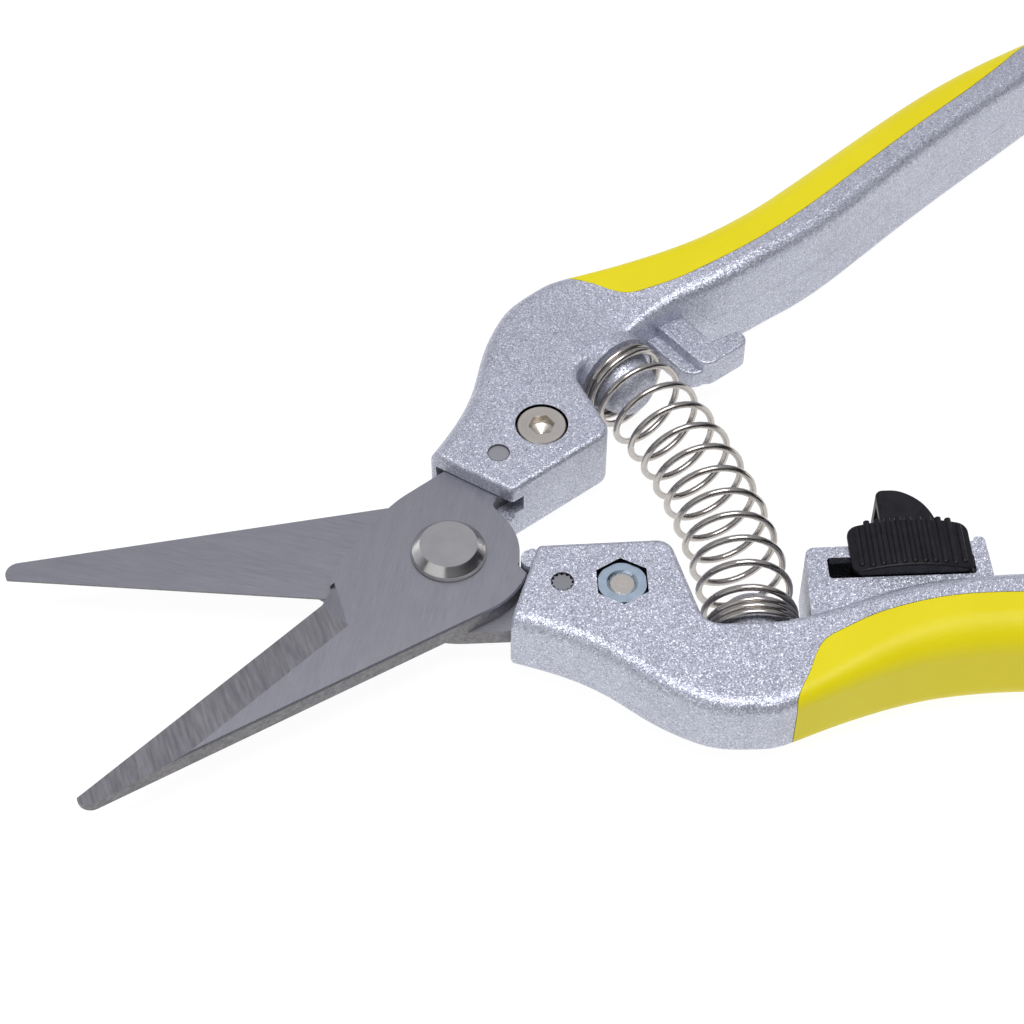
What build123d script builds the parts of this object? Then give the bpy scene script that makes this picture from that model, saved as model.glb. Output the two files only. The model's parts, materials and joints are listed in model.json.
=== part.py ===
from build123d import *
import os
from math import acos, atan2, cos, degrees, radians, sin, tan

# Floral snips, open on their stop. Millimetres, +Z up. X is the centre line, from the blade
# tips back to the handles. The origin is the middle of the open tool's box, on the plane it
# rests on. Each half is drawn in its own frame: x back from the pivot, y outward from the
# centre line and z towards the side that its blade lies on, so one set of numbers makes both.

# ---- whole tool ----
OPEN_HALF_ANGLE = 18.25            # each half's turn from the centre line when open
GRIP_HALF = 8.8                    # half thickness of the grips, which the tool rests on
PIVOT = Vector(-39.65, 0, GRIP_HALF)
UPPER = 1                          # the half whose blade is on top
LOWER = -1

# ---- blades ----
BLADE_T = 2.8
MATE_GAP = 0.05                    # running gap between the two blades
BLADE_Z = MATE_GAP / 2
TIP = (-65.5, 0.0)                 # cutting corner at the tip
TIP_BACK = (-64.2, -3.1)
TIP_NOSE = (-65.75, -1.7)
HEEL = (-17.6, 5.7)                # back end of the cutting edge
SHOULDER = (-8.5, 10.3)
TANG_OUT = 12.75                   # outer side of the tang
TANG_IN = 3.7                      # inner side of the tang
TANG_END = 30.4
TAIL_R = 10.5                      # round tail about the pivot
TOOTH_R = 12.35                    # open stop tooth and the round back behind it
TOOTH_ROOT = -52.0                 # angles about the pivot, degrees
TOOTH_TIP = -58.3
RELIEF = (11.8, 2.15)              # round relief where the tang leaves the tail
RELIEF_R = 1.25
SPINE_CHAMFER = 0.25
BEVEL_W = 6.8
EDGE_T = 0.35                      # thickness left at the cutting edge
BEVEL_OVER = 0.3                   # how far the grind reaches past the edge line at the heel
BEVEL_END_TOP = (-16.6, 5.9)       # the run-out facet at the heel, on the flat
BEVEL_END_RIDGE = (-19.5, -1.1)
BEVEL_END_LOW = (-19.4, 5.4)       # and on the cutting edge

# ---- pivot ----
PIVOT_R = 3.0
PIVOT_PLAY = 0.05
WASHER_T = 0.25
WASHER_GAP = 0.05
WASHER_R = 5.65
HEAD_R = 5.45                      # rivet head
HEAD_TOP_R = 4.3
HEAD_RIM = 0.45
HEAD_H = 1.7
TAIL_HEAD_R = 4.9                  # peened end of the rivet
TAIL_HEAD_H = 1.3

# ---- handle head, plan points in the half frame ----
HEAD_HALF = 5.8
FRONT_IN = (13.2, 1.3)
FRONT_OUT = (8.3, 15.3)
BACK_CURVE = [(15.4, 18.1), (22.0, 22.0), (28.2, 27.1), (34.6, 30.9)]
JOIN_X = 44.0                      # where the head turns into the grip bar
JOIN_OUT = 32.2
NECK = {UPPER: (14.6, 14.65, 15.0), LOWER: (16.6, 16.55, 15.9)}   # inner side from JOIN_X on
HEAD_CORNER = (32.5, 1.0)
HEAD_LEAN = 0.25                   # the head's back leans this much for each step outward
HEAD_CORNER_R = 2.6
NOTCH_R = 3.2
OUTER_ROUND = 2.3
INNER_ROUND = 0.9
FRONT_ROUND = 0.7
BOSS = (12.3, 2.3)                 # open stop on the front face
BOSS_R = 1.75
BOSS_TOP = 3.7
SLOT_OUT = 14.2
SLOT_END = 31.0
SLOT_GAP = 0.15                    # over the tang, on the blade's side
SLOT_MOUTH = 15.0                  # the slot also opens inward as far back as this

# ---- grip bar stations: x, inner y, outer y, half thickness, inner and outer round ----
NECK_STATIONS = [                  # these take their inner y from NECK
    (JOIN_X, JOIN_OUT, HEAD_HALF, INNER_ROUND, OUTER_ROUND),
    (46.5, 31.8, 5.85, 1.0, 2.4),
    (52.0, 29.6, 6.4, 1.3, 2.8),
]
STATIONS = [
    (58.0, 14.4, 27.2, 7.3, 1.8, 3.5),
    (64.0, 12.8, 25.2, 8.15, 2.3, 4.2),
    (71.0, 11.7, 23.7, 8.72, 2.5, 4.7),
    (80.0, 11.2, 23.1, 8.84, 2.5, 4.9),
    (92.0, 11.6, 23.6, 8.84, 2.5, 4.9),
    (106.0, 13.1, 24.6, 8.84, 2.5, 4.9),
    (121.0, 14.4, 25.2, 8.84, 2.5, 4.6),
    (136.0, 15.3, 24.6, 8.5, 2.4, 4.0),
    (148.0, 16.0, 23.3, 7.8, 2.2, 3.3),
    (155.0, 16.6, 22.4, 7.0, 2.0, 2.6),
]
END_ROUND = 1.9
GRIP_SKIN = 2.3                    # thickness of the moulded grip over the casting
CORE_ROUND = 0.8
GRIP_FRONT = 48.1
GRIP_REAR = 149.5
GRIP_EDGE = [(50.2, 26.3), (51.5, 23.2), (53.1, 21.0), (56.0, 19.5), (59.7, 18.0), (64.5, 16.8),
             (71.0, 15.8), (77.0, 15.5), (90.0, 16.1), (106.0, 17.7), (122.0, 19.0), (138.0, 20.7)]
SEAM = 0.1                         # groove between the edge of the grip and the casting

# ---- fasteners, in the half frame ----
PIN = (16.3, 8.45)
PIN_R = 1.6
PIN_SUNK = 0.25
KNURL_COUNT = 12
KNURL_R = 0.27
KNURL_DEPTH = 2.5
SCREW = (25.0, 8.75)
SCREW_R = 2.0
SCREW_HEAD_R = 3.85
SCREW_HEAD_H = 2.0
SCREW_POCKET_R = 4.08
SCREW_POCKET = 2.15
SOCKET_AF = 3.6
SOCKET_DEPTH = 1.5
SOCKET_CONE = 0.9                  # drilled point below the socket
HEX_TURN = 30                      # a corner of each hexagon faces outward
NUT_AF = 7.0
NUT_H = 3.2
NUT_POCKET_AF = 7.35
NUT_POCKET = 3.6
NUT_MOUTH_R = 2.3

# ---- return spring and its seats ----
SPRING_X = 43.75                   # spring axis in each half frame
SPRING_OD = 14.3
SPRING_WIRE = 1.1
SPRING_GAP = 0.17                  # keeps the tilted ends off their seats
UPPER_SEAT = 13.3
LOWER_SEAT = 17.05
SPOT_R = 7.45                      # spot face round the lower seat
PEG_R = 5.4
PEG_BASE = 2.6                     # straight foot of each peg, from the notch floor
PEG_NOSE_R = 3.8
PEG_NOSE_Y = {UPPER: 6.9, LOWER: 9.5}
PEG_ROUND = 2.7
PAD_R = 6.9                        # raised spring seat on the upper handle

# ---- lock ----
HOOK_HALF = 2.6
HOOK = [(54.2, 18.0), (54.4, 3.8), (63.9, 3.6), (63.8, 6.5), (58.9, 7.4), (58.9, 18.0)]
HOOK_ROUNDS = [(1, 2.3), (2, 1.8), (3, 1.0), (4, 0.8)]
LEDGE = [(52.1, 18.0), (52.2, 4.8), (59.0, 4.4), (59.0, 18.0)]
LEDGE_ROUND = 2.8
LEDGE_TOP = 0.7
HOOK_EDGE = 0.35
LUG_HALF = 5.8
LUG = [(51.6, 17.4), (52.15, 3.9), (77.1, 3.7), (77.2, 2.9), (78.8, 2.9), (79.2, 13.5)]
LUG_ROUNDS = [(1, 1.4), (3, 0.5), (4, 0.8)]
LUG_WALL = 1.5
CHANNEL = (54.6, 77.1, 10.3)       # front, back and floor of the channel in the lug
CHANNEL_OPEN = (59.6, 4.45)        # it is open inward behind this x, walled in front down to this y
SLOT = (55.1, 76.7, 5.9, 9.7)      # front, back, near side and far side of the lug's slot
SLOT_ROUND = 0.6
LOCK_TRAVEL = 4.3
TONGUE_HALF = 4.1
TONGUE_FRONT = 64.3
TONGUE_TOP = -8.1
TONGUE_BACK = 72.8
TONGUE_CURVE = [(66.4, TONGUE_TOP), (69.2, -7.2), (71.5, -4.9), (72.6, -2.3)]
TONGUE_ROUND = 0.5
CARRIER = (59.3, 76.5, 4.6, 10.0)  # slider body that runs in the channel
STEM = (60.0, 76.1, 6.2, 9.4)      # stem through the slot
POCKET = (69.6, 2.4, -5.9, 2.9)    # back, floor, roof and half height of the tongue's mouth
PAD_X = (58.5, 76.4)               # thumb pad
PAD_Y = (0.95, 9.5)
PAD_BASE = 5.9
PAD_EDGE = 6.5
PAD_CROWN = 8.2
PAD_CORNER = 1.5
RIB_COUNT = 11
RIB_R = 0.48
RIB_PROUD = 0.25                   # how far each rib stands out past the pad's inward side


def half_plane(side):
    """A half's own frame: x back from the pivot, y outward, z towards its blade."""
    turn = radians(OPEN_HALF_ANGLE) * side
    return Plane(origin=PIVOT, x_dir=(cos(turn), sin(turn), 0), z_dir=(0, 0, side))


def section_plane(side, x):
    """A plane across a half at x, with sketch x outward and sketch y along the half's z."""
    half = half_plane(side)
    return Plane(origin=half.from_local_coords((x, 0, 0)), x_dir=half.y_dir, z_dir=half.x_dir)


def edge_plane(side, y):
    """A plane facing the centre line at y, with sketch x along the half's x."""
    half = half_plane(side)
    return Plane(origin=half.from_local_coords((0, y, 0)), x_dir=half.x_dir,
                 z_dir=half.y_dir * -1)


def polar(radius, angle):
    return (radius * cos(radians(angle)), radius * sin(radians(angle)))


def place(half, edge):
    """The middle of an edge, in the half's own frame."""
    return half.to_local_coords(edge.center())


# ---- blades ----
def bevel_cutter(side):
    """The wedge ground off a blade, ending in a slanted run-out at the heel."""
    half = half_plane(side)
    run = Vector(HEEL[0] - TIP[0], HEEL[1] - TIP[1]).normalized()
    along = half.x_dir * run.X + half.y_dir * run.Y
    outward = half.x_dir * -run.Y + half.y_dir * run.X
    start = half.from_local_coords((TIP[0] - 4 * run.X, TIP[1] - 4 * run.Y, BLADE_Z))
    slope = (BLADE_T - EDGE_T) / BEVEL_W
    over = BEVEL_OVER
    corners = [
        (BEVEL_END_TOP[0], BEVEL_END_TOP[1], BLADE_Z + BLADE_T),
        (BEVEL_END_RIDGE[0], BEVEL_END_RIDGE[1], BLADE_Z + BLADE_T),
        (BEVEL_END_LOW[0], BEVEL_END_LOW[1], BLADE_Z + EDGE_T),
    ]
    top, ridge, low = [Vector(*half.from_local_coords(c)) for c in corners]
    normal = (ridge - top).cross(low - top)
    if normal.dot(along) < 0:
        normal = normal * -1
    with BuildPart() as cutter:
        with BuildSketch(Plane(origin=start, x_dir=outward, z_dir=along)):
            with BuildLine():
                Polyline((-BEVEL_W, BLADE_T), (-BEVEL_W, BLADE_T + 1), (over, BLADE_T + 1),
                         (over, EDGE_T - slope * over), close=True)
            make_face()
        extrude(amount=60)
        split(bisect_by=Plane(origin=top, z_dir=normal), keep=Keep.BOTTOM)
    return cutter.part


def on_spine(middle):
    """Whether an edge's middle lies on the outer rim of a blade's straight back."""
    x, y, z = middle
    return -50 < x < -8 and y < -4 and z > BLADE_Z + BLADE_T - 0.01


def make_blade(side, name, bore):
    half = half_plane(side)
    wedge = bevel_cutter(side)
    back_reach = Vector(*TIP_BACK).length
    touch = degrees(atan2(TIP_BACK[1], TIP_BACK[0])) + degrees(acos(TOOTH_R / back_reach))
    with BuildPart() as blade:
        with BuildSketch(half.offset(BLADE_Z)):
            with BuildLine():
                Line(TIP, HEEL)
                Spline(HEEL, SHOULDER, (2.0, TANG_OUT), tangents=[(0.55, 0.83), (1, 0)])
                Polyline((2.0, TANG_OUT), (TANG_END - 3, TANG_OUT), (TANG_END, TANG_OUT - 3),
                         (TANG_END, TANG_IN + 2), (TANG_END - 2, TANG_IN), (RELIEF[0], TANG_IN),
                         polar(TAIL_R, 8))
                CenterArc((0, 0), TAIL_R, 8, TOOTH_ROOT - 8)
                Line(polar(TAIL_R, TOOTH_ROOT), polar(TOOTH_R, TOOTH_TIP))
                CenterArc((0, 0), TOOTH_R, TOOTH_TIP, touch - TOOTH_TIP)
                Line(polar(TOOTH_R, touch), TIP_BACK)
                ThreePointArc(TIP_BACK, TIP_NOSE, TIP)
            make_face()
            with Locations(RELIEF):
                Circle(RELIEF_R, mode=Mode.SUBTRACT)
            Circle(bore, mode=Mode.SUBTRACT)
            with Locations(PIN):
                Circle(PIN_R, mode=Mode.SUBTRACT)
            with Locations(SCREW):
                Circle(SCREW_R, mode=Mode.SUBTRACT)
        extrude(amount=BLADE_T)
        add(wedge, mode=Mode.SUBTRACT)
        spine = [e for e in blade.edges().filter_by(GeomType.LINE) if on_spine(place(half, e))]
        chamfer(spine, SPINE_CHAMFER)
    blade.part.label = name
    export_step(blade.part, f"parts/{name}.step")
    return blade.part


# ---- handles ----
def make_bar(side, trim=0.0):
    """The whole grip bar, or the casting under its grip when trimmed."""
    half = half_plane(side)
    with BuildPart() as bar:
        neck = [(row[0], y_in, *row[1:]) for row, y_in in zip(NECK_STATIONS, NECK[side])]
        for x, y_in, y_out, half_t, r_in, r_out in neck + STATIONS:
            with BuildSketch(section_plane(side, x)) as section:
                with Locations(((y_in + y_out - trim) / 2, 0)):
                    Rectangle(y_out - y_in - trim, 2 * (half_t - trim))
                fillet(section.vertices().group_by(Axis.X)[0], CORE_ROUND if trim else r_in)
                fillet(section.vertices().group_by(Axis.X)[-1], r_out - 0.4 * trim)
        loft()
        if not trim:
            with BuildSketch(half):
                Rectangle(400, 200)
            extrude(amount=GRIP_HALF, both=True, mode=Mode.INTERSECT)
            end = bar.faces().sort_by(Axis(PIVOT, half.x_dir))[-1]
            fillet(end.edges(), END_ROUND)
    return bar.part


def grip_block(side, bar, core, grow=0.0):
    """The outer side of the bar, wrapped on to its top and bottom, over the core."""
    edge = [(x, y - grow) for x, y in GRIP_EDGE]
    front = (GRIP_FRONT - grow, 30.6)
    rear = GRIP_REAR + grow
    with BuildPart() as block:
        add(bar)
        with BuildSketch(half_plane(side)):
            with BuildLine():
                Polyline(edge[-1], (rear - 3, 22.4 - grow), (rear, 26), (rear, 36),
                         (front[0], 36), front)
                Spline(front, *edge, tangents=[(0.3, -1), (1, 0.14)])
            make_face()
        extrude(amount=2 * GRIP_HALF, both=True, mode=Mode.INTERSECT)
        add(core, mode=Mode.SUBTRACT)
    return block.part


def make_grip(side, name, bar, core):
    """The soft grip, moulded over the casting."""
    with BuildPart() as grip:
        add(grip_block(side, bar, core))
    grip.part.label = name
    export_step(grip.part, f"parts/{name}.step")


def head_edges(part, half, kind):
    """Edges round the head's top and bottom faces: its outer back, its front or its inside."""
    chosen = ShapeList()
    for edge in part.edges():
        x, y, z = place(half, edge)
        if abs(abs(z) - HEAD_HALF) > 0.01 or x > JOIN_X - 0.01:
            continue
        front = x < 13.2 and 1.3 < y < 15.31
        outer = y > 15.31 and x < 43.9 and not (x > 34 and y < 26)
        edge_kind = "front" if front else "outer" if outer else "inner"
        if edge_kind == kind:
            chosen.append(edge)
    return chosen


def make_hook(side):
    """The finger that the lock's tongue catches, and the lower ledge in front of it."""
    half = half_plane(side)
    with BuildPart() as hook:
        with BuildSketch(half.offset(-HOOK_HALF)) as plan:
            with BuildLine():
                Polyline(*HOOK, close=True)
            make_face()
            for corner, radius in HOOK_ROUNDS:
                fillet(plan.vertices().sort_by_distance(HOOK[corner])[0], radius)
        extrude(amount=2 * HOOK_HALF)
        rims = [e for e in hook.edges() if abs(abs(place(half, e).Z) - HOOK_HALF) < 0.01]
        fillet([e for e in rims if place(half, e).Y < 17.9], HOOK_EDGE)
    with BuildPart() as ledge:
        with BuildSketch(half.offset(-HOOK_HALF)) as plan:
            with BuildLine():
                Polyline(*LEDGE, close=True)
            make_face()
            fillet(plan.vertices().sort_by_distance(LEDGE[1])[0], LEDGE_ROUND)
        extrude(amount=HOOK_HALF + LEDGE_TOP)
        rims = [e for e in ledge.edges() if abs(place(half, e).Z - LEDGE_TOP) < 0.01]
        fillet([e for e in rims if place(half, e).X < 55 and place(half, e).Y < 17.9], HOOK_EDGE)
    return hook.part, ledge.part


def make_handle(side, name, bar, pocket):
    """A casting: head, grip bar less its grip, spring peg, and its half of the lock."""
    half = half_plane(side)
    seat = NECK[side][0]
    notch = (HEAD_CORNER[0] + HEAD_LEAN * (seat - HEAD_CORNER[1]), seat)
    hook_parts = make_hook(side) if side == UPPER else ()
    with BuildPart() as handle:
        with BuildSketch(half) as plan:
            with BuildLine():
                Line(FRONT_IN, FRONT_OUT)
                Spline(FRONT_OUT, *BACK_CURVE, (JOIN_X, JOIN_OUT), tangents=[(1, 0.36), (1, 0)])
                Polyline((JOIN_X, JOIN_OUT), (JOIN_X, seat), notch, HEAD_CORNER, FRONT_IN)
            make_face()
            fillet(plan.vertices().sort_by_distance(HEAD_CORNER)[0], HEAD_CORNER_R)
            fillet(plan.vertices().sort_by_distance(notch)[0], NOTCH_R)
        extrude(amount=HEAD_HALF, both=True)
        fillet(head_edges(handle, half, "outer"), OUTER_ROUND)
        fillet(head_edges(handle, half, "inner"), INNER_ROUND)
        fillet(head_edges(handle, half, "front"), FRONT_ROUND)
        add(bar)
        add(pocket, mode=Mode.SUBTRACT)

        # slot for the tang, open at the front and at the inner front corner
        with BuildSketch(half.offset(BLADE_Z)):
            with BuildLine():
                Polyline((4, SLOT_OUT), (20, SLOT_OUT), (SLOT_END, 13.2), (SLOT_END, TANG_IN - 0.3),
                         (SLOT_MOUTH + 0.6, TANG_IN - 0.3), (SLOT_MOUTH, -2), (4, -2), close=True)
            make_face()
        extrude(amount=BLADE_T + SLOT_GAP, mode=Mode.SUBTRACT)

        # open stop boss, on the other blade's side
        with BuildSketch(half.offset(-BOSS_TOP)):
            with Locations(BOSS):
                Circle(BOSS_R)
        extrude(amount=BOSS_TOP - BLADE_Z)

        # locating pin, screw and nut
        with BuildSketch(half.offset(-HEAD_HALF)):
            with Locations(PIN):
                Circle(PIN_R)
            with Locations(SCREW):
                Circle(SCREW_R)
        extrude(amount=2 * HEAD_HALF, mode=Mode.SUBTRACT)
        with BuildSketch(half.offset(HEAD_HALF - SCREW_POCKET)):
            with Locations(SCREW):
                Circle(SCREW_POCKET_R)
        extrude(amount=SCREW_POCKET + 1, mode=Mode.SUBTRACT)
        with BuildSketch(half.offset(-HEAD_HALF - 1)):
            with Locations(SCREW):
                RegularPolygon(NUT_POCKET_AF / 2, 6, major_radius=False, rotation=HEX_TURN)
        extrude(amount=NUT_POCKET + 1, mode=Mode.SUBTRACT)

        # spring peg
        nose_y = PEG_NOSE_Y[side]
        with BuildSketch(Plane(origin=half.from_local_coords((SPRING_X, 0, 0)),
                               x_dir=half.x_dir, z_dir=half.z_dir)) as peg:
            with BuildLine():
                Polyline((0, seat + 2), (PEG_R, seat + 2), (PEG_R, seat - PEG_BASE),
                         (PEG_NOSE_R, nose_y), (0, nose_y), close=True)
            make_face()
            fillet(peg.vertices().sort_by_distance((PEG_NOSE_R, nose_y))[0], PEG_ROUND)
        revolve(axis=Axis(half.from_local_coords((SPRING_X, 0, 0)), half.y_dir))

        if side == UPPER:
            with BuildSketch(edge_plane(side, UPPER_SEAT)):
                with Locations((SPRING_X, 0)):
                    Circle(PAD_R)
            extrude(amount=UPPER_SEAT - seat - 1)
            for block in hook_parts:
                add(block)
        else:
            with BuildSketch(edge_plane(side, LOWER_SEAT)):
                with Locations((SPRING_X, 0)):
                    Circle(SPOT_R)
                    Circle(PEG_R, mode=Mode.SUBTRACT)
            extrude(amount=3, mode=Mode.SUBTRACT)
            with BuildSketch(half.offset(-LUG_HALF)) as plate:
                with BuildLine():
                    Polyline(*LUG, close=True)
                make_face()
                for corner, radius in LUG_ROUNDS:
                    fillet(plate.vertices().sort_by_distance(LUG[corner])[0], radius)
            extrude(amount=2 * LUG_HALF)
            channel_half = LUG_HALF - LUG_WALL
            front, back, floor = CHANNEL
            open_x, wall_y = CHANNEL_OPEN
            with BuildSketch(half.offset(-channel_half)):
                with BuildLine():
                    Polyline((front, wall_y), (open_x, wall_y), (open_x, 0), (back, 0),
                             (back, floor), (front, floor), close=True)
                make_face()
            extrude(amount=2 * channel_half, mode=Mode.SUBTRACT)
            front, back, near, far = SLOT
            with BuildSketch(half.offset(-LUG_HALF - 1)):
                with Locations(((front + back) / 2, (near + far) / 2)):
                    RectangleRounded(back - front, far - near, SLOT_ROUND)
            extrude(amount=LUG_WALL + 1, mode=Mode.SUBTRACT)
    handle.part.label = name
    export_step(handle.part, f"parts/{name}.step")
    return handle.part


# ---- fasteners ----
def make_pin(side, name):
    """Locating pin through a handle and its tang, knurled at the end away from the blade."""
    half = half_plane(side)
    reach = HEAD_HALF - PIN_SUNK
    with BuildPart() as pin:
        with BuildSketch(half.offset(-reach)):
            with Locations(PIN):
                Circle(PIN_R)
        extrude(amount=2 * reach)
        with BuildSketch(half.offset(-reach)):
            with Locations(PIN):
                with PolarLocations(PIN_R, KNURL_COUNT):
                    Circle(KNURL_R)
        extrude(amount=KNURL_DEPTH, mode=Mode.SUBTRACT)
    pin.part.label = name
    export_step(pin.part, f"parts/{name}.step")


def make_screw(side, name):
    """Flat socket screw whose head is sunk on the blade's side of its handle."""
    half = half_plane(side)
    seat = HEAD_HALF - SCREW_POCKET
    nut_top = -HEAD_HALF + NUT_POCKET - NUT_H
    with BuildPart() as screw:
        with BuildSketch(half.offset(nut_top + 0.25)):
            with Locations(SCREW):
                Circle(SCREW_R)
        extrude(amount=seat - nut_top - 0.25)
        chamfer(screw.faces().sort_by(Axis(PIVOT, half.z_dir))[0].edges(), 0.3)
        with BuildSketch(half.offset(seat)):
            with Locations(SCREW):
                Circle(SCREW_HEAD_R)
        extrude(amount=SCREW_HEAD_H)
        top = screw.faces().sort_by(Axis(PIVOT, half.z_dir))[-1]
        chamfer(top.edges(), 0.2)
        with BuildSketch(half.offset(seat + SCREW_HEAD_H)):
            with Locations(SCREW):
                RegularPolygon(SOCKET_AF / 2, 6, major_radius=False, rotation=HEX_TURN)
        extrude(amount=-SOCKET_DEPTH, mode=Mode.SUBTRACT)
        floor = seat + SCREW_HEAD_H - SOCKET_DEPTH
        with BuildSketch(half.offset(floor)):
            with Locations(SCREW):
                Circle(SOCKET_AF / 2 - 0.1)
        with BuildSketch(half.offset(floor - SOCKET_CONE)):
            with Locations(SCREW):
                Circle(0.1)
        loft(mode=Mode.SUBTRACT)
    screw.part.label = name
    export_step(screw.part, f"parts/{name}.step")


def make_nut(side, name):
    half = half_plane(side)
    seat = -HEAD_HALF + NUT_POCKET
    with BuildPart() as nut:
        with BuildSketch(half.offset(seat - NUT_H)):
            with Locations(SCREW):
                RegularPolygon(NUT_AF / 2, 6, major_radius=False, rotation=HEX_TURN)
        extrude(amount=NUT_H)
        with BuildSketch(half.offset(seat - NUT_H)):
            with Locations(SCREW):
                Circle(NUT_AF / 2 + 0.1)
        extrude(amount=NUT_H, taper=-35, mode=Mode.INTERSECT)
        with BuildSketch(half.offset(seat - NUT_H)):
            with Locations(SCREW):
                Circle(SCREW_R)
        extrude(amount=NUT_H, mode=Mode.SUBTRACT)
        with BuildSketch(half.offset(seat - NUT_H)):
            with Locations(SCREW):
                Circle(NUT_MOUTH_R)
        extrude(amount=NUT_MOUTH_R - SCREW_R, taper=45, mode=Mode.SUBTRACT)
    nut.part.label = name
    export_step(nut.part, f"parts/{name}.step")


# ---- pivot ----
def make_rivet(name):
    """Pivot rivet: turned flat head on top, shank, and a peened end below."""
    top = BLADE_Z + BLADE_T + WASHER_GAP + WASHER_T
    low = -(BLADE_Z + BLADE_T + WASHER_T)
    with BuildPart() as rivet:
        with BuildSketch(Plane(origin=PIVOT, x_dir=(1, 0, 0), z_dir=(0, -1, 0))):
            with BuildLine():
                Polyline((0, top + HEAD_H), (HEAD_TOP_R, top + HEAD_H), (HEAD_R, top + HEAD_RIM),
                         (HEAD_R, top), (PIVOT_R, top), (PIVOT_R, low), (TAIL_HEAD_R, low),
                         (TAIL_HEAD_R, low - 0.4), (TAIL_HEAD_R - 0.8, low - 1.0),
                         (TAIL_HEAD_R - 2.3, low - TAIL_HEAD_H), (0, low - TAIL_HEAD_H), close=True)
            make_face()
        revolve(axis=Axis(PIVOT, (0, 0, 1)))
    rivet.part.label = name
    export_step(rivet.part, f"parts/{name}.step")


def make_washer(name, base):
    with BuildPart() as washer:
        with BuildSketch(Plane(origin=PIVOT).offset(base)):
            Circle(WASHER_R)
            Circle(PIVOT_R, mode=Mode.SUBTRACT)
        extrude(amount=WASHER_T)
    washer.part.label = name
    export_step(washer.part, f"parts/{name}.step")


# ---- return spring ----
def make_spring(name):
    """The coil's sleeve: its outside, its bore and its bow between the two seats."""
    first = half_plane(LOWER).from_local_coords((SPRING_X, LOWER_SEAT - SPRING_GAP, 0))
    last = half_plane(UPPER).from_local_coords((SPRING_X, UPPER_SEAT - SPRING_GAP, 0))
    chord = last - first
    bow_r = chord.length / 2 / sin(radians(OPEN_HALF_ANGLE))
    across = chord.normalized().cross(Vector(0, 0, 1))
    centre = (first + last) / 2 - across * bow_r * cos(radians(OPEN_HALF_ANGLE))
    radial = (first - centre).normalized()
    with BuildPart() as spring:
        with BuildSketch(Plane(origin=first, x_dir=radial, z_dir=Vector(0, 0, 1).cross(radial))):
            Circle(SPRING_OD / 2)
            Circle(SPRING_OD / 2 - SPRING_WIRE, mode=Mode.SUBTRACT)
        revolve(axis=Axis(centre, (0, 0, 1)), revolution_arc=2 * OPEN_HALF_ANGLE)
    spring.part.label = name
    export_step(spring.part, f"parts/{name}.step")


# ---- lock ----
def make_tongue(name):
    """Slider: body in the lug's channel, stem through its slot, and the catch for the hook."""
    half = half_plane(LOWER)
    with BuildPart() as tongue:
        front, back, near, far = CARRIER
        root = near + 0.5
        with BuildSketch(half.offset(-TONGUE_HALF)) as catch:
            with BuildLine():
                Polyline((TONGUE_BACK, 0), (TONGUE_BACK, root), (TONGUE_FRONT, root),
                         (TONGUE_FRONT, TONGUE_TOP), TONGUE_CURVE[0])
                Spline(*TONGUE_CURVE, (TONGUE_BACK, 0), tangents=[(1, 0), (0, 1)])
            make_face()
            fillet(catch.vertices().sort_by_distance((TONGUE_FRONT, TONGUE_TOP))[0], 1.1)
        extrude(amount=2 * TONGUE_HALF)
        chosen = ShapeList()
        for edge in tongue.edges():
            x, y, z = place(half, edge)
            if abs(abs(z) - TONGUE_HALF) < 0.01 and y < root - 0.1:
                chosen.append(edge)
        fillet(chosen, TONGUE_ROUND)
        with BuildSketch(half.offset(-TONGUE_HALF)):
            with Locations(((front + back) / 2, (near + far) / 2)):
                Rectangle(back - front, far - near)
        extrude(amount=2 * TONGUE_HALF)
        depth, floor, roof, mouth_half = POCKET
        with BuildSketch(half.offset(-mouth_half)):
            with Locations(((depth + TONGUE_FRONT - 2) / 2, (floor + roof) / 2)):
                Rectangle(depth - TONGUE_FRONT + 2, floor - roof)
        extrude(amount=2 * mouth_half, mode=Mode.SUBTRACT)
        front, back, near, far = STEM
        with BuildSketch(half.offset(-PAD_BASE)):
            with Locations(((front + back) / 2, (near + far) / 2)):
                Rectangle(back - front, far - near)
        extrude(amount=PAD_BASE - TONGUE_HALF)
    tongue.part.label = name
    export_step(tongue.part, f"parts/{name}.step")


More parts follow.
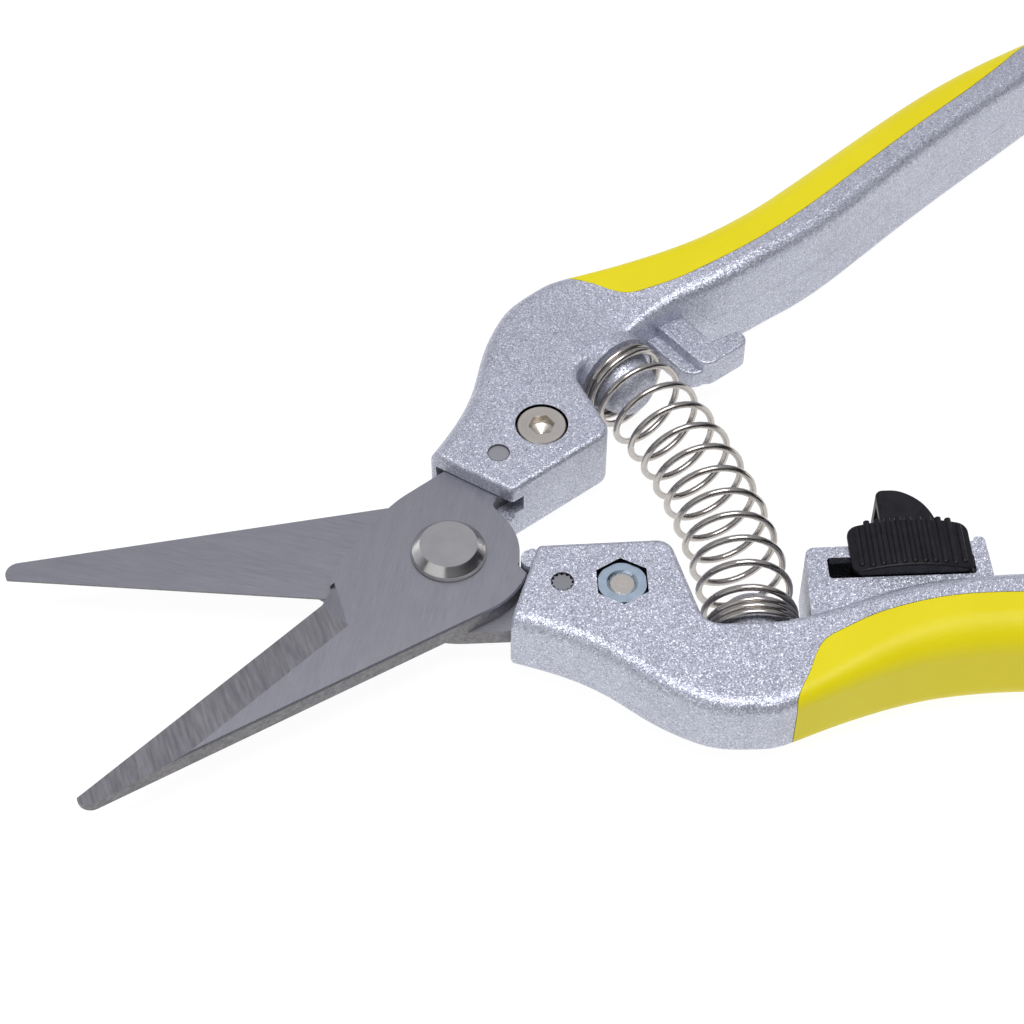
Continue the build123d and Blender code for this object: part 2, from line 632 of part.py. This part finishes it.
def make_pad(name):
    """Crowned thumb pad with round-ended ribs across its top."""
    half = half_plane(LOWER)
    front, back = PAD_X
    near, far = PAD_Y
    middle = (front + back) / 2
    rise = PAD_CROWN - PAD_EDGE
    crown_r = (((back - front) / 2) ** 2 + rise ** 2) / (2 * rise)
    with BuildPart() as pad:
        with BuildSketch(edge_plane(LOWER, far)):
            with BuildLine():
                Polyline((back, -PAD_EDGE), (back, -PAD_BASE), (front, -PAD_BASE),
                         (front, -PAD_EDGE))
                ThreePointArc((front, -PAD_EDGE), (middle, -PAD_CROWN), (back, -PAD_EDGE))
            make_face()
        extrude(amount=far - near)
        fillet(pad.edges().filter_by(Axis.Z), PAD_CORNER)
        fillet([e for e in pad.edges() if place(half, e).Z < -PAD_BASE - 0.4], 0.3)
        pitch = (back - front - 1.4) / RIB_COUNT
        for i in range(RIB_COUNT):
            x = front + 0.7 + (i + 0.5) * pitch
            z = PAD_CROWN - crown_r + (crown_r ** 2 - (x - middle) ** 2) ** 0.5 - RIB_R / 3
            shy = 1.3 if i in (0, RIB_COUNT - 1) else 0.75
            with BuildSketch(edge_plane(LOWER, far - shy)):
                with Locations((x, -z)):
                    Circle(RIB_R)
            inset = 0.55 if i in (0, RIB_COUNT - 1) else -RIB_PROUD
            extrude(amount=far - near - shy - inset)
            with Locations(half.from_local_coords((x, far - shy, -z))):
                Sphere(RIB_R)
    pad.part.label = name
    export_step(pad.part, f"parts/{name}.step")


os.makedirs("parts", exist_ok=True)
for side, word in ((UPPER, "upper"), (LOWER, "lower")):
    bore = PIVOT_R + (PIVOT_PLAY if side == UPPER else 0)
    make_blade(side, f"blade_{word}", bore)
    bar = make_bar(side)
    core = make_bar(side, GRIP_SKIN)
    make_grip(side, f"grip_{word}", bar, core)
    make_handle(side, f"handle_{word}", bar, grip_block(side, bar, core, SEAM))
    make_pin(side, f"locating_pin_{word}")
    make_screw(side, f"clamp_screw_{word}")
    make_nut(side, f"clamp_nut_{word}")
make_rivet("pivot_rivet")
make_washer("pivot_washer_upper", BLADE_Z + BLADE_T + WASHER_GAP)
make_washer("pivot_washer_lower", -(BLADE_Z + BLADE_T + WASHER_T))
make_spring("return_spring")
make_tongue("lock_tongue")
make_pad("lock_pad")
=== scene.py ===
import json
from math import cos, pi, radians, sin

import bpy
import numpy as np
from mathutils import Matrix, Vector


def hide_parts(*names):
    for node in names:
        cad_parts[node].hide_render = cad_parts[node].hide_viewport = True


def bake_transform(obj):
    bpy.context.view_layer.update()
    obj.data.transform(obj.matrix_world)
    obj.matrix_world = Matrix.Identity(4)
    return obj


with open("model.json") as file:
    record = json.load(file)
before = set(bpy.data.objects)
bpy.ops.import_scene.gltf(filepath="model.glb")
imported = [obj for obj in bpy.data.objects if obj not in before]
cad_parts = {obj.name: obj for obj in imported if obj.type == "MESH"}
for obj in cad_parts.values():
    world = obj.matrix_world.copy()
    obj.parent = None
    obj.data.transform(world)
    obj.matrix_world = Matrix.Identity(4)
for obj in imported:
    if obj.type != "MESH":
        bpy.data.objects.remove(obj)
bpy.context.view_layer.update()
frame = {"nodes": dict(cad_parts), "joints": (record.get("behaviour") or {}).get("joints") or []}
MM = 0.001

# ---- the tool's own frame: pivot, and each half's directions when open ----
JOINTS = {j["name"]: j for j in frame["joints"]}
PIVOT = Vector(JOINTS["cut_pivot"]["pos_m"])
OPEN_HALF_ANGLE = radians(18.25)
UPPER = 1
LOWER = -1
SCREW_AT = (25.0, 8.75)            # each half's clamp screw and locating pin, in its frame, in mm
PIN_AT = (16.3, 8.45)


def half_point(side, x, y):
    """A point given in a half's frame, in mm: x back from the pivot, y outward."""
    c = cos(OPEN_HALF_ANGLE)
    s = sin(OPEN_HALF_ANGLE)
    return PIVOT + Vector((x * c - y * s, side * (x * s + y * c), 0)) * MM


def half_direction(side, x, y):
    return (half_point(side, x, y) - PIVOT).normalized()


# ---- node material helpers ----
class Shader:
    """A material's node tree, with short calls to add and link nodes."""

    def __init__(self, name):
        self.material = bpy.data.materials.new(name)
        self.material.use_nodes = True
        self.tree = self.material.node_tree
        self.tree.nodes.clear()
        self.surface = self.node("ShaderNodeBsdfPrincipled")
        output = self.node("ShaderNodeOutputMaterial")
        self.link(self.surface.outputs["BSDF"], output.inputs["Surface"])

    def node(self, kind, **values):
        made = self.tree.nodes.new(kind)
        for key, value in values.items():
            setattr(made, key, value)
        return made

    def link(self, start, end):
        self.tree.links.new(start, end)

    def put(self, target, value):
        """Links an output to a socket, or sets the socket's own value."""
        if isinstance(value, bpy.types.NodeSocket):
            self.link(value, target)
        elif value is not None:
            target.default_value = value

    def place(self, turn=0.0, stretch=(1, 1, 1), offset=(0, 0, 0)):
        """Object coordinates turned about Z, moved by the offset, then stretched."""
        turned = self.node("ShaderNodeMapping", vector_type="POINT")
        self.link(self.node("ShaderNodeTexCoord").outputs["Object"], turned.inputs["Vector"])
        turned.inputs["Location"].default_value = offset
        turned.inputs["Rotation"].default_value = (0, 0, turn)
        scaled = self.node("ShaderNodeMapping", vector_type="POINT")
        self.link(turned.outputs["Vector"], scaled.inputs["Vector"])
        scaled.inputs["Scale"].default_value = stretch
        return scaled.outputs["Vector"]

    def noise(self, vector, scale, detail=3.0, rough=0.55):
        made = self.node("ShaderNodeTexNoise")
        self.link(vector, made.inputs["Vector"])
        made.inputs["Scale"].default_value = scale
        made.inputs["Detail"].default_value = detail
        made.inputs["Roughness"].default_value = rough
        return made.outputs["Fac"]

    def cells(self, vector, scale, output="Color"):
        made = self.node("ShaderNodeTexVoronoi")
        self.link(vector, made.inputs["Vector"])
        made.inputs["Scale"].default_value = scale
        return made.outputs[output]

    def spread(self, value, low, high, to_low=0.0, to_high=1.0):
        """Maps low..high to to_low..to_high, and holds it there past either end."""
        made = self.node("ShaderNodeMapRange", clamp=True)
        self.put(made.inputs["Value"], value)
        made.inputs["From Min"].default_value = low
        made.inputs["From Max"].default_value = high
        made.inputs["To Min"].default_value = to_low
        made.inputs["To Max"].default_value = to_high
        return made.outputs["Result"]

    def edge(self, value, outside, inside, full=1.0):
        """Rises from 0 at the outside distance to full at the inside one, both in mm."""
        return self.spread(value, outside * MM, inside * MM, 0.0, full)

    def math(self, operation, first, second=None):
        made = self.node("ShaderNodeMath", operation=operation)
        self.put(made.inputs[0], first)
        self.put(made.inputs[1], second)
        return made.outputs[0]

    def product(self, first, *others):
        for other in others:
            first = self.math("MULTIPLY", first, other)
        return first

    def vector_math(self, operation, *values):
        made = self.node("ShaderNodeVectorMath", operation=operation)
        for socket, value in zip(made.inputs, values):
            self.put(socket, value)
        return made.outputs[0]

    def parts(self, vector):
        """A vector's X, Y and Z, or a colour's red, green and blue."""
        made = self.node("ShaderNodeSeparateXYZ")
        self.link(vector, made.inputs[0])
        return made.outputs

    def radius(self, x, y, centre=(0, 0)):
        """How far (x, y) in metres is from a centre in mm."""
        across = self.math("SUBTRACT", x, centre[0] * MM)
        along = self.math("SUBTRACT", y, centre[1] * MM)
        square = self.math("ADD", self.product(across, across), self.product(along, along))
        return self.math("SQRT", square)

    def mix(self, amount, first, second):
        """Blends two colours."""
        made = self.node("ShaderNodeMix", data_type="RGBA")
        self.put(made.inputs[0], amount)
        self.put(made.inputs[6], first)
        self.put(made.inputs[7], second)
        return made.outputs[2]

    def blend(self, amount, first, second):
        """Blends two numbers."""
        made = self.node("ShaderNodeMix", data_type="FLOAT")
        self.put(made.inputs[0], amount)
        self.put(made.inputs[2], first)
        self.put(made.inputs[3], second)
        return made.outputs[0]

    def bump(self, height, strength, depth, normal=None):
        """A normal tilted by a height whose full depth is in mm."""
        made = self.node("ShaderNodeBump")
        self.link(height, made.inputs["Height"])
        made.inputs["Strength"].default_value = strength
        made.inputs["Distance"].default_value = depth * MM
        self.put(made.inputs["Normal"], normal)
        return made.outputs["Normal"]

    def finish(self, **sockets):
        for name, value in sockets.items():
            self.put(self.surface.inputs[name.replace("_", " ")], value)
        return self.material


def rgb(red, green, blue):
    """Linear colour from sRGB values out of 255."""
    def linear(v):
        v /= 255
        return v / 12.92 if v <= 0.04045 else ((v + 0.055) / 1.055) ** 2.4
    return (linear(red), linear(green), linear(blue), 1.0)


def darker(colour, share):
    return tuple(share * c for c in colour[:3]) + (1.0,)


# ---- silver paint on the castings; sizes in mm ----
FLAKE_PER_M = 6600
TILT_PER_M = 5280                  # patches of paint that share one flake's tilt
FLAKE_TILT = 0.38
PAINT_DARK = rgb(186, 189, 203)
PAINT_PALE = rgb(195, 198, 212)
# paler flakes, partly painted glints that stand in for their sparkle
FLAKE_PALE_AND_GLINT = rgb(246, 247, 255)
FLAKE_DULL = rgb(128, 130, 145)
MOULD_LINE = rgb(96, 98, 108)
MOULD_LINE_HALF = 0.11             # half the line's width; it fades in over MOULD_LINE_FROM
MOULD_LINE_FROM = (57, 62)
# near-black painted shade for the insides of the screw's pocket, the pin's rim and the lock's
# hollows
PAINTED_SHADE = rgb(18, 18, 21)
SCREW_POCKET_R = 4.4
POCKET_TOP = 5.79                  # the head's face is just above this
PIN_RIM_R = 1.75
# the lock's channel and its slot, whose insides get painted shade: front, rear, near side, far side
# and half height
LOCK_HOLLOWS = ((54.55, 77.15, 4.4, 10.35, 4.35), (55.05, 76.75, 5.85, 9.75, POCKET_TOP))


def half_coordinates(s, side):
    """In a half's frame, in metres: x back from the pivot, outward, and off the mid plane."""
    turn = -side * OPEN_HALF_ANGLE
    centre = Matrix.Rotation(turn, 3, "Z") @ PIVOT
    x, y, z = s.parts(s.place(turn, offset=-centre))
    return x, s.math("MULTIPLY", y, float(side)), s.math("ABSOLUTE", z)


def flake_normal(s, here):
    """A softly uneven cast face on which each flake faces its own way."""
    swell = s.bump(s.noise(here, 420), 0.3, 0.08)
    tilt = s.vector_math("MULTIPLY_ADD", s.cells(here, TILT_PER_M),
                         (FLAKE_TILT,) * 3, (-FLAKE_TILT / 2,) * 3)
    return s.vector_math("NORMALIZE", s.vector_math("ADD", swell, tilt))


def paint_recess_shade(s, side, x, outward, height):
    """Masks for painted shade in the recesses: the screw's pocket, the pin's rim and the lock's
    hollows.
    """
    pocket_wall = s.edge(s.radius(x, outward, SCREW_AT), SCREW_POCKET_R, SCREW_POCKET_R - 0.05)
    masks = [s.product(s.edge(height, POCKET_TOP, POCKET_TOP - 0.04), pocket_wall),
             s.edge(s.radius(x, outward, PIN_AT), PIN_RIM_R, PIN_RIM_R - 0.08, 0.85)]
    if side == LOWER:
        for front, rear, near, far, half in LOCK_HOLLOWS:
            masks.append(s.product(
                s.edge(x, front, front + 0.1), s.edge(x, rear, rear - 0.1),
                s.edge(outward, near, near + 0.1), s.edge(outward, far, far - 0.1),
                s.edge(height, half, half - 0.04)))
    return masks


def cast_paint(name, side):
    """Silver paint with fine metal flake, a mould line along the handle, and painted shade in the
    recesses.
    """
    s = Shader(name)
    here = s.place()
    bright, dull, gloss = s.parts(s.cells(here, FLAKE_PER_M))
    colour = s.mix(s.spread(s.noise(here, 140, 4), 0.35, 0.65), PAINT_DARK, PAINT_PALE)
    # some flakes paler, partly as painted glints
    colour = s.mix(s.spread(bright, 0.76, 1.0, 0.0, 0.95), colour, FLAKE_PALE_AND_GLINT)
    colour = s.mix(s.spread(dull, 0.72, 1.0, 0.0, 0.85), colour, FLAKE_DULL)

    x, outward, height = half_coordinates(s, side)
    line = s.product(s.edge(height, MOULD_LINE_HALF, 0.04), s.edge(x, *MOULD_LINE_FROM),
                     s.spread(s.noise(here, 260), 0.38, 0.62, 0.15, 0.6))
    colour = s.mix(line, colour, MOULD_LINE)
    # painted shade: near black in the screw's pocket, round the pin and in the lock's hollows
    for mask in paint_recess_shade(s, side, x, outward, height):
        colour = s.mix(mask, colour, PAINTED_SHADE)
    return s.finish(Base_Color=colour, Metallic=0.6, Normal=flake_normal(s, here),
                    Roughness=s.spread(gloss, 0.0, 1.0, 0.34, 0.5))


# ---- moulded grips ----
def grip_material():
    """Smooth satin moulded grip, very slightly mottled."""
    s = Shader("yellow_grip")
    here = s.place()
    cloud = s.noise(here, 90, 4)
    fine = s.noise(here, 1500)
    colour = s.mix(s.spread(cloud, 0.3, 0.7), rgb(229, 213, 0), rgb(233, 219, 14))
    normal = s.bump(cloud, 0.25, 0.1, s.bump(fine, 0.12, 0.04))
    return s.finish(Base_Color=colour, Roughness=s.spread(fine, 0.3, 0.7, 0.42, 0.52),
                    Normal=normal, Specular_IOR_Level=0.35, Subsurface_Weight=0.06,
                    Subsurface_Scale=0.002, Subsurface_Radius=(1.0, 0.8, 0.2))


# ---- blade steel ----
GRIND_ANGLE = radians(87)          # the bevel's grinding lines, from along the tool
BLADE_COLOURS = {                  # dark and pale streaks
    "flat": (rgb(155, 155, 164), rgb(173, 173, 181)),
    "bevel": (rgb(150, 148, 153), rgb(184, 182, 185)),
    "side": (rgb(112, 111, 114), rgb(140, 138, 140)),
}
FLAT_SHEEN = rgb(177, 177, 184)


def blade_material(name, side, brush_turn, brush_depth):
    """Satin steel: brushed flats, grinding lines across the bevel, and rougher, darker sides."""
    s = Shader(name)
    # flats, bevel and sides are told apart by how far they lean from level
    level = s.math("ABSOLUTE", s.parts(s.node("ShaderNodeNewGeometry").outputs["Normal"])[2])
    on_bevel = s.product(s.spread(level, 0.998, 0.975), s.spread(level, 0.80, 0.90))
    on_side = s.spread(level, 0.6, 0.4)
    streaks = s.noise(s.place(brush_turn, (1, 26, 1)), 260, 5, 0.7)
    broad = s.noise(s.place(brush_turn, (1, 10, 1)), 60)
    grind = s.noise(s.place(side * -GRIND_ANGLE, (1, 12, 1)), 130, 4, 0.7)
    pits = s.noise(s.place(), 1300, 4, 0.7)

    flat = s.mix(s.spread(streaks, 0.3, 0.7), *BLADE_COLOURS["flat"])
    flat = s.mix(s.spread(broad, 0.3, 0.7, 0.0, 0.4), flat, FLAT_SHEEN)
    bevel = s.mix(s.spread(grind, 0.35, 0.65), *BLADE_COLOURS["bevel"])
    edge = s.mix(s.spread(pits, 0.35, 0.65), *BLADE_COLOURS["side"])
    colour = s.mix(on_side, s.mix(on_bevel, flat, bevel), edge)
    rough = s.blend(on_bevel, s.spread(streaks, 0.2, 0.8, 0.32, 0.40),
                    s.spread(grind, 0.2, 0.8, 0.30, 0.42))
    normal = s.bump(s.blend(on_bevel, streaks, grind), brush_depth, 0.04)
    return s.finish(Base_Color=colour, Metallic=1.0, Roughness=s.blend(on_side, rough, 0.5),
                    Normal=normal)


# ---- fasteners, spring and lock ----
def turned_material(name, centre, colour, rough, strength):
    """Metal turned on a lathe: fine rings about an axis along Z."""
    s = Shader(name)
    x, y, _ = s.parts(s.place(offset=(-centre.x, -centre.y, 0)))
    join = s.node("ShaderNodeCombineXYZ")
    s.link(s.radius(x, y), join.inputs["X"])
    rings = s.noise(join.outputs[0], 2600, 3, 0.6)
    tint = s.mix(s.spread(s.noise(s.place(), 300), 0.3, 0.7), colour, darker(colour, 0.9))
    return s.finish(Base_Color=tint, Metallic=1.0, Normal=s.bump(rings, strength, 0.02),
                    Roughness=s.spread(rings, 0.3, 0.7, rough, rough + 0.1))


def plated_material(name, colour, rough, strength=0.15):
    """Plated steel with slight unevenness."""
    s = Shader(name)
    here = s.place()
    cloud = s.noise(here, 700, 4)
    tint = s.mix(s.spread(cloud, 0.3, 0.7), colour, darker(colour, 0.88))
    return s.finish(Base_Color=tint, Metallic=1.0,
                    Normal=s.bump(s.noise(here, 1800, 2), strength, 0.02),
                    Roughness=s.spread(cloud, 0.3, 0.7, rough, rough + 0.12))


NYLON_DARK = (0.004, 0.0035, 0.006, 1)
NYLON_PALE = (0.009, 0.008, 0.012, 1)
NYLON_DUST = (0.08, 0.08, 0.085, 1)


def lock_material():
    """Black moulded nylon with a fine speckle."""
    s = Shader("black_nylon")
    here = s.place()
    cloud = s.noise(here, 500, 4)
    dust = s.spread(s.cells(here, 2400, "Distance"), 0.10, 0.02, 0.0, 0.7)
    colour = s.mix(s.spread(cloud, 0.3, 0.7), NYLON_DARK, NYLON_PALE)
    return s.finish(Base_Color=s.mix(dust, colour, NYLON_DUST), Specular_IOR_Level=0.3,
                    Roughness=s.spread(cloud, 0.3, 0.7, 0.36, 0.5),
                    Normal=s.bump(s.noise(here, 1500), 0.3, 0.04))


SCREW_NICKEL = rgb(224, 218, 209)
MATERIALS = {
    "cast_upper": cast_paint("silver_flake_upper", UPPER),
    "cast_lower": cast_paint("silver_flake_lower", LOWER),
    "grip": grip_material(),
    "blade_upper": blade_material("brushed_steel_upper", UPPER, radians(-58), 0.25),
    "blade_lower": blade_material("brushed_steel_lower", LOWER, radians(35), 0.3),
    "rivet": turned_material("polished_rivet", PIVOT, rgb(222, 221, 220), 0.14, 0.25),
    "pin": plated_material("plain_pin", rgb(172, 172, 178), 0.42),
    "knurled": plated_material("knurled_pin", rgb(156, 156, 161), 0.4),
    "screw_upper": turned_material("nickel_screw_upper", half_point(UPPER, *SCREW_AT),
                                   SCREW_NICKEL, 0.28, 0.3),
    "screw_lower": turned_material("nickel_screw_lower", half_point(LOWER, *SCREW_AT),
                                   SCREW_NICKEL, 0.28, 0.3),
    "nut": plated_material("zinc_nut", rgb(208, 226, 244), 0.24),
    "washer": plated_material("plain_washer", rgb(150, 150, 152), 0.35),
    "spring": plated_material("nickel_spring", rgb(193, 188, 183), 0.14, 0.1),
    "lock": lock_material(),
}
NODE_MATERIALS = {
    "handle_upper": "cast_upper", "handle_lower": "cast_lower",
    "grip_upper": "grip", "grip_lower": "grip",
    "blade_upper": "blade_upper", "blade_lower": "blade_lower",
    "pivot_rivet": "rivet", "pivot_washer_upper": "washer", "pivot_washer_lower": "washer",
    "locating_pin_upper": "pin", "locating_pin_lower": "knurled",
    "clamp_screw_upper": "screw_upper", "clamp_screw_lower": "screw_lower",
    "clamp_nut_upper": "nut", "clamp_nut_lower": "nut",
    "lock_pad": "lock", "lock_tongue": "lock",
    "return_spring": "spring",
}
for node_name, key in NODE_MATERIALS.items():
    target = frame["nodes"][node_name]
    for material_slot in target.material_slots:
        material_slot.material = MATERIALS[key]
    if not target.material_slots:
        target.data.materials.append(MATERIALS[key])


# ---- return spring: a wire coil on a bowed axis between its two seats; sizes in mm ----
SPRING_X = 43.75
LOWER_SEAT = 17.05
UPPER_SEAT = 13.3
END_GAP = 0.7                      # from each seat to the middle of the wire
BOW = 1.04                         # how strongly the axis leaves each seat square to it
COIL_R = 6.6
WIRE_R = 0.53
LOWER_TURNS = 3.2                  # close turns at each seat
UPPER_TURNS = 1.9
OPEN_TURNS = 11.0
CLOSE_SPACE = 1.03                 # close turns' spacing, in wire thicknesses
FIRST_TURN = -1.6                  # the wire's angle where it starts, in radians
STEPS_PER_TURN = 36
WIRE_SIDES = 12


def spring_axis(t):
    """Point and direction on the coil's axis, from the lower seat at 0 to the upper at 1."""
    first = half_point(LOWER, SPRING_X, LOWER_SEAT - END_GAP)
    last = half_point(UPPER, SPRING_X, UPPER_SEAT - END_GAP)
    pull = (last - first).length * BOW
    out_first = half_direction(LOWER, 0, -1) * pull
    out_last = half_direction(UPPER, 0, 1) * pull
    t2 = t * t
    t3 = t2 * t
    point = (first * (2 * t3 - 3 * t2 + 1) + out_first * (t3 - 2 * t2 + t)
             + last * (3 * t2 - 2 * t3) + out_last * (t3 - t2))
    slope = (first * (6 * t2 - 6 * t) + out_first * (3 * t2 - 4 * t + 1)
             + last * (6 * t - 6 * t2) + out_last * (3 * t2 - 2 * t))
    return point, slope.normalized()


def spring_share(turns):
    """How far along the axis the coil has climbed after so many turns."""
    first = half_point(LOWER, SPRING_X, LOWER_SEAT)
    last = half_point(UPPER, SPRING_X, UPPER_SEAT)
    close = 2 * WIRE_R * MM * CLOSE_SPACE / (last - first).length
    open_pitch = (1 - (LOWER_TURNS + UPPER_TURNS) * close) / OPEN_TURNS
    share = close * min(turns, LOWER_TURNS)
    share += open_pitch * min(max(turns - LOWER_TURNS, 0), OPEN_TURNS)
    return share + close * max(turns - LOWER_TURNS - OPEN_TURNS, 0)


def coil_path():
    """Along the wire: its centres, the way out from the axis, and the share of the axis climbed."""
    total = LOWER_TURNS + OPEN_TURNS + UPPER_TURNS
    steps = int(total * STEPS_PER_TURN)
    up = Vector((0, 0, 1))
    centres, outs, shares = [], [], []
    for i in range(steps + 1):
        turns = total * i / steps
        share = spring_share(turns)
        point, along = spring_axis(share)
        level = along.cross(up).normalized()
        angle = 2 * pi * turns + FIRST_TURN
        out = level * cos(angle) + up * sin(angle)
        centres.append(point + out * COIL_R * MM)
        outs.append(out)
        shares.append(share)
    return centres, outs, shares


def wire_mesh(name, centres, outs):
    """A round wire through the centres, with a flat cap at each end."""
    last = len(centres) - 1
    vertices = []
    for i, (centre, out) in enumerate(zip(centres, outs)):
        ahead = (centres[min(i + 1, last)] - centres[max(i - 1, 0)]).normalized()
        across = ahead.cross(out).normalized()
        for k in range(WIRE_SIDES):
            a = 2 * pi * k / WIRE_SIDES
            vertices.append(centre + (out * cos(a) + across * sin(a)) * WIRE_R * MM)
    faces = []
    for row in range(0, last * WIRE_SIDES, WIRE_SIDES):
        following = row + WIRE_SIDES
        for k in range(WIRE_SIDES):
            n = (k + 1) % WIRE_SIDES
            faces.append((row + k, row + n, following + n, following + k))
    ring = range(WIRE_SIDES)
    faces.append(tuple(reversed(ring)))
    faces.append(tuple(last * WIRE_SIDES + k for k in ring))
    mesh = bpy.data.meshes.new(name)
    mesh.from_pydata([tuple(v) for v in vertices], [], faces)
    mesh.update()
    for polygon in mesh.polygons[:-2]:
        polygon.use_smooth = True
    return mesh


path_centres, path_outs, path_shares = coil_path()
coil_mesh = wire_mesh("spring_coil", path_centres, path_outs)
coil_mesh.materials.append(MATERIALS["spring"])
coil = bpy.data.objects.new("spring_coil", coil_mesh)
bpy.context.scene.collection.objects.link(coil)
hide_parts("return_spring")
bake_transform(coil)


# ---- floor, lights and camera; in metres except where a name says mm ----
FLOOR_REACH = 3.0
FLOOR_GREY = 0.16
FLOOR_GLOW = 0.92
# the room's brightness by height, from the horizon at 0 to straight up at 1
FRONT_ROOM = [(0.0, 0.12), (0.08, 0.02), (0.48, 0.04), (0.66, 0.38), (0.80, 0.44), (1.0, 0.6)]
BACK_ROOM = [(0.0, 0.50), (0.45, 0.46), (0.80, 0.43), (1.0, 0.6)]
ROOM_TINT = (0.97, 0.97, 1.05)
BACK_FROM = 0.5                    # the room is all back wall once a direction's Y passes this
FOCAL_MM = 88.13
SENSOR_MM = 36.0
CAMERA_LOOK = Vector((0.2246, 0.5898, -0.7757))
CAMERA_RIGHT = Vector((0.9345, -0.3559, 0.0))
CAMERA_FROM_PIVOT_MM = Vector((-72.9, -217.7, 294.2))


def make_floor():
    mesh = bpy.data.meshes.new("studio_floor")
    corners = [(-1, -1), (1, -1), (1, 1), (-1, 1)]
    mesh.from_pydata([(x * FLOOR_REACH, y * FLOOR_REACH, 0) for x, y in corners], [],
                     [(0, 1, 2, 3)])
    floor = bpy.data.objects.new("studio_floor", mesh)
    floor.location.z = -0.2 * MM
    bpy.context.scene.collection.objects.link(floor)
    s = Shader("studio_floor")
    mesh.materials.append(s.finish(Base_Color=(FLOOR_GREY,) * 3 + (1,), Roughness=0.9,
                                   Specular_IOR_Level=0.0, Emission_Strength=FLOOR_GLOW,
                                   Emission_Color=(1, 1, 1, 1)))


def area_light(name, location, size, power):
    """A rectangular lamp aimed at the origin."""
    light = bpy.data.lights.new(name, "AREA")
    light.shape = "RECTANGLE"
    light.size, light.size_y = size
    light.energy = power
    lamp = bpy.data.objects.new(name, light)
    lamp.location = location
    lamp.rotation_mode = "QUATERNION"
    lamp.rotation_quaternion = (-Vector(location)).to_track_quat("-Z", "Y")
    bpy.context.scene.collection.objects.link(lamp)


def room_ramp(tree, height, room):
    """The room's colour at each height."""
    ramp = tree.nodes.new("ShaderNodeValToRGB")
    tree.links.new(height, ramp.inputs["Fac"])
    stops = ramp.color_ramp.elements
    stops[0].position = room[0][0]
    stops[1].position = room[-1][0]
    for position, _ in room[1:-1]:
        stops.new(position)
    for stop, (_, brightness) in zip(stops, room):
        stop.color = tuple(brightness * tint for tint in ROOM_TINT) + (1,)
    return ramp.outputs["Color"]


def make_world():
    """A soft grey room: paler overhead and at its back wall, dark low down in front."""
    world = bpy.data.worlds.new("studio")
    bpy.context.scene.world = world
    world.use_nodes = True
    tree = world.node_tree
    coords = tree.nodes.new("ShaderNodeTexCoord")
    parts = tree.nodes.new("ShaderNodeSeparateXYZ")
    tree.links.new(coords.outputs["Generated"], parts.inputs[0])
    turn = tree.nodes.new("ShaderNodeMapRange")
    tree.links.new(parts.outputs["Y"], turn.inputs["Value"])
    turn.inputs["From Min"].default_value = 0.0
    turn.inputs["From Max"].default_value = BACK_FROM
    mixed = tree.nodes.new("ShaderNodeMix")
    mixed.data_type = "RGBA"
    tree.links.new(turn.outputs["Result"], mixed.inputs[0])
    tree.links.new(room_ramp(tree, parts.outputs["Z"], FRONT_ROOM), mixed.inputs[6])
    tree.links.new(room_ramp(tree, parts.outputs["Z"], BACK_ROOM), mixed.inputs[7])
    background = tree.nodes["Background"]
    tree.links.new(mixed.outputs[2], background.inputs["Color"])
    background.inputs["Strength"].default_value = 1.0


def make_camera():
    camera_data = bpy.data.cameras.new("camera")
    camera_data.lens = FOCAL_MM
    camera_data.sensor_width = SENSOR_MM
    camera_data.clip_start = 0.01
    camera = bpy.data.objects.new("camera", camera_data)
    right = CAMERA_RIGHT.normalized()
    back = -CAMERA_LOOK.normalized()
    up = back.cross(right).normalized()
    turned = Matrix((right, up, back)).transposed()
    place = Matrix.Translation(PIVOT + CAMERA_FROM_PIVOT_MM * MM)
    camera.matrix_world = place @ turned.to_4x4()
    bpy.context.scene.collection.objects.link(camera)
    bpy.context.scene.camera = camera


make_floor()
make_world()
area_light("overhead", (0.0, -0.08, 0.8), (0.5, 0.5), 4.2)
area_light("side", (-0.8, -0.4, 0.45), (0.9, 0.7), 1.2)
make_camera()
bpy.context.scene.view_settings.view_transform = "Standard"
